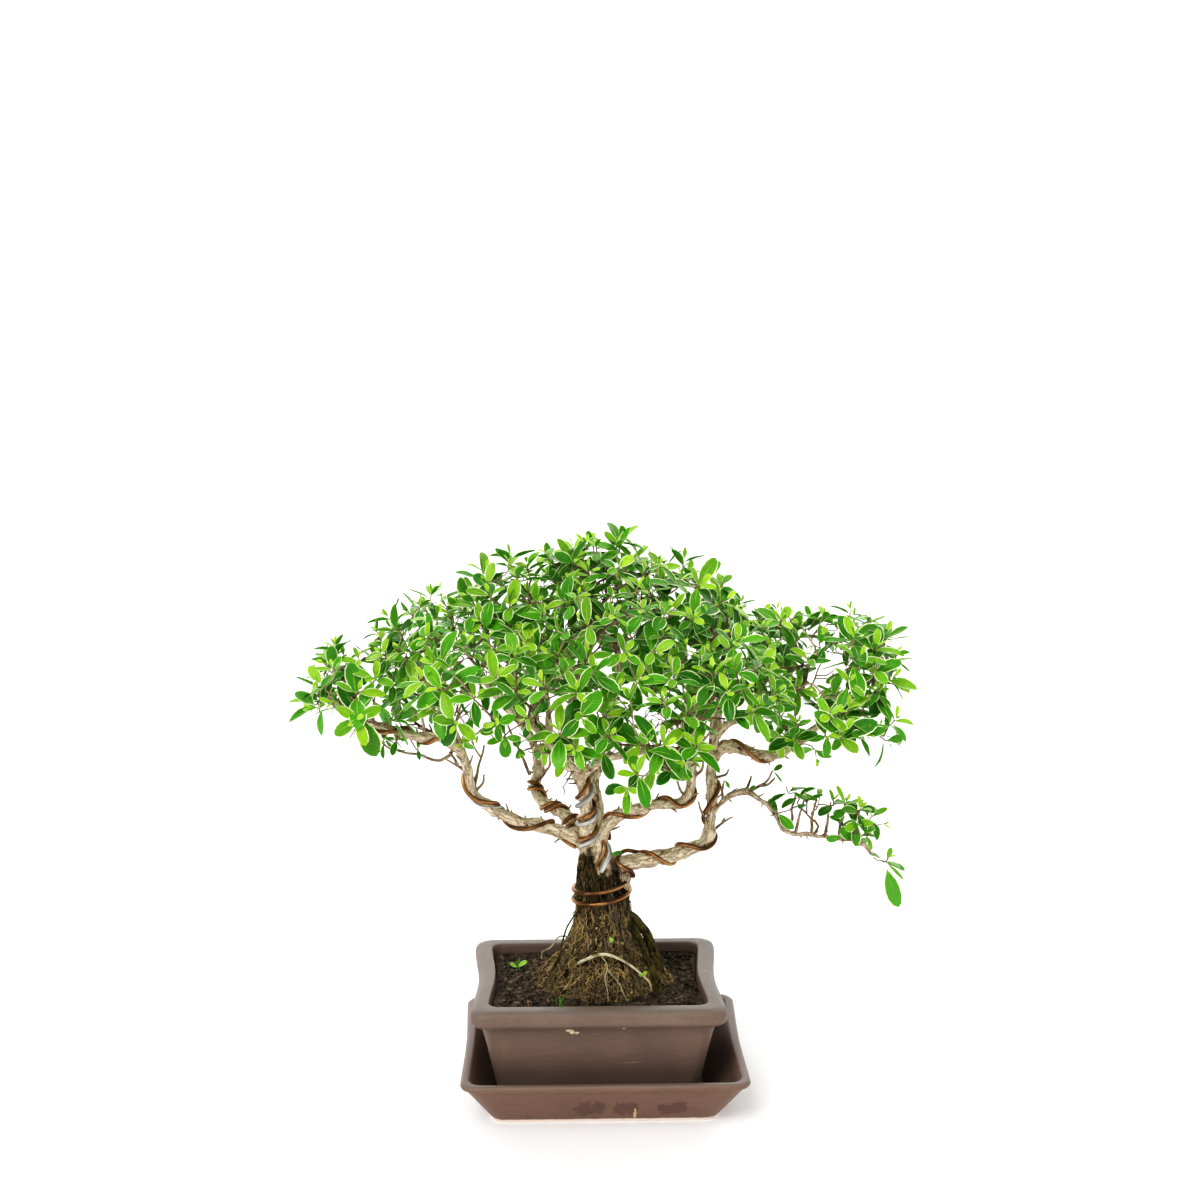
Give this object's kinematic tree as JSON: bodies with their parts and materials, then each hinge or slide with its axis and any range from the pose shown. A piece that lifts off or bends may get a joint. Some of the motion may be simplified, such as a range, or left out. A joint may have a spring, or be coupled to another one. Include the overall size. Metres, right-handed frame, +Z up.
{
  "type": "serissa bonsai",
  "caption": "Small bonsai tree with fine variegated leaves on wired limbs, in a rectangular clay pot standing on a drip saucer.",
  "frame": {"origin": "middle of the saucer's flat underside, where it rests on the ground", "axes": "+Z up, the front of the tree faces -Y, and the long side of the pot runs along X"},
  "size_m": [0.4033, 0.2562, 0.3786],
  "materials": {
    "saucer_clay": "satin brown glaze on fired clay",
    "pot_clay": "matt brown glaze on fired clay",
    "soil": "crumbly dark soil",
    "bark": "rough flaking bark",
    "copper_wire": "copper-coloured anodised aluminium",
    "silver_wire": "bare aluminium, dulled",
    "leaf": "soft living leaf with a cream edge"
  },
  "bodies": {
    "root": {"saucer": "saucer_clay", "pot": "pot_clay", "soil": "soil", "tree_wood": "bark", "wire_copper_trunk_right": "copper_wire", "wire_copper_left": "copper_wire", "wire_copper_left_far": "copper_wire", "wire_copper_mid_left_a": "copper_wire", "wire_copper_mid_left_b": "copper_wire", "wire_copper_leader": "copper_wire", "wire_silver_leader": "silver_wire", "wire_copper_mid_right": "copper_wire", "wire_copper_right_high": "copper_wire", "wire_silver_left": "silver_wire", "spray_leader_1": "leaf", "spray_leader_2": "leaf", "spray_crown_left_1": "leaf", "spray_crown_right_1": "leaf", "spray_rear_1": "leaf", "spray_rear_2": "leaf", "spray_left_1": "leaf", "spray_left_low_1": "leaf", "spray_left_mid_1": "leaf", "spray_left_rear_1": "leaf", "spray_right_mid_1": "leaf", "spray_right_mid_2": "leaf", "spray_right_low_1": "leaf", "spray_right_up_1": "leaf", "spray_right_high_1": "leaf", "spray_front_left_1": "leaf", "spray_front_left_2": "leaf", "spray_front_right_1": "leaf", "spray_rear_right_1": "leaf", "spray_hanging_1": "leaf", "spray_hanging_2": "leaf", "spray_hanging_3": "leaf"}
  },
  "joints": []
}
